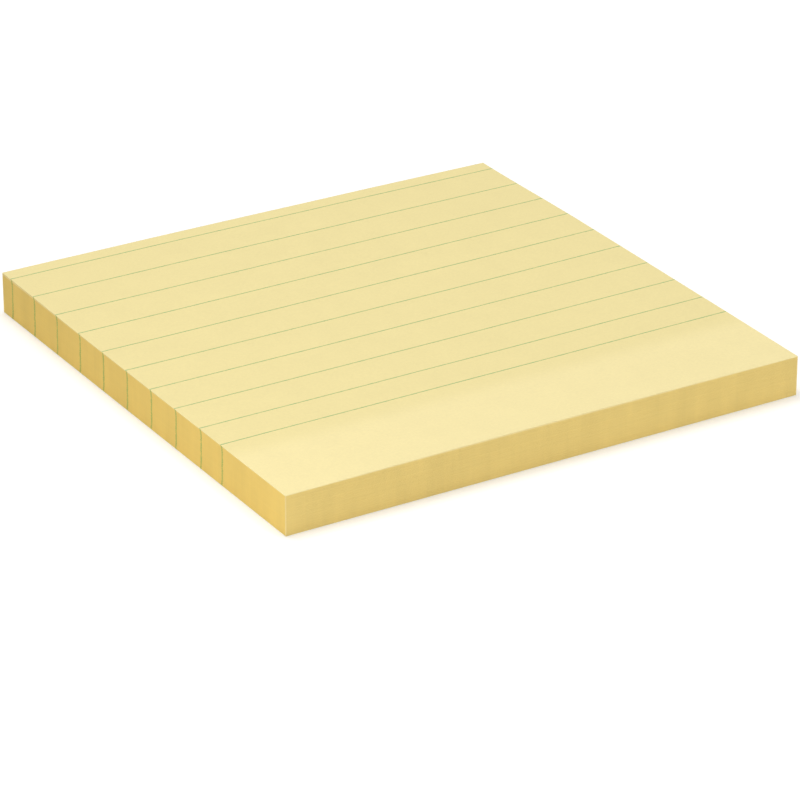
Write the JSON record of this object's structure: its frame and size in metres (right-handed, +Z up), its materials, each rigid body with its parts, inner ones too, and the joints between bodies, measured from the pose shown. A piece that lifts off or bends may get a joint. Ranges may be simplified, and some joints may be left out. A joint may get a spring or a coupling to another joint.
{
  "type": "lined sticky note pad",
  "caption": "Square block of lined sticky notes, stuck along the header edge and ruled face up, to write on and peel off sheet by sheet.",
  "frame": {"origin": "middle of the underside, on the surface the pad lies on", "axes": "+X along the ruled lines, +Y towards the header edge where the notes are stuck together, +Z up out of the ruled face"},
  "size_m": [0.1016, 0.1016, 0.0074],
  "materials": {
    "note_paper": "matte uncoated dyed paper",
    "rule_ink": "matte printed line on paper",
    "backing_paper": "smooth matte backing paper"
  },
  "bodies": {
    "root": {"note_sheets": "note_paper", "ruled_lines": "rule_ink", "backing_sheet": "backing_paper"}
  },
  "joints": []
}
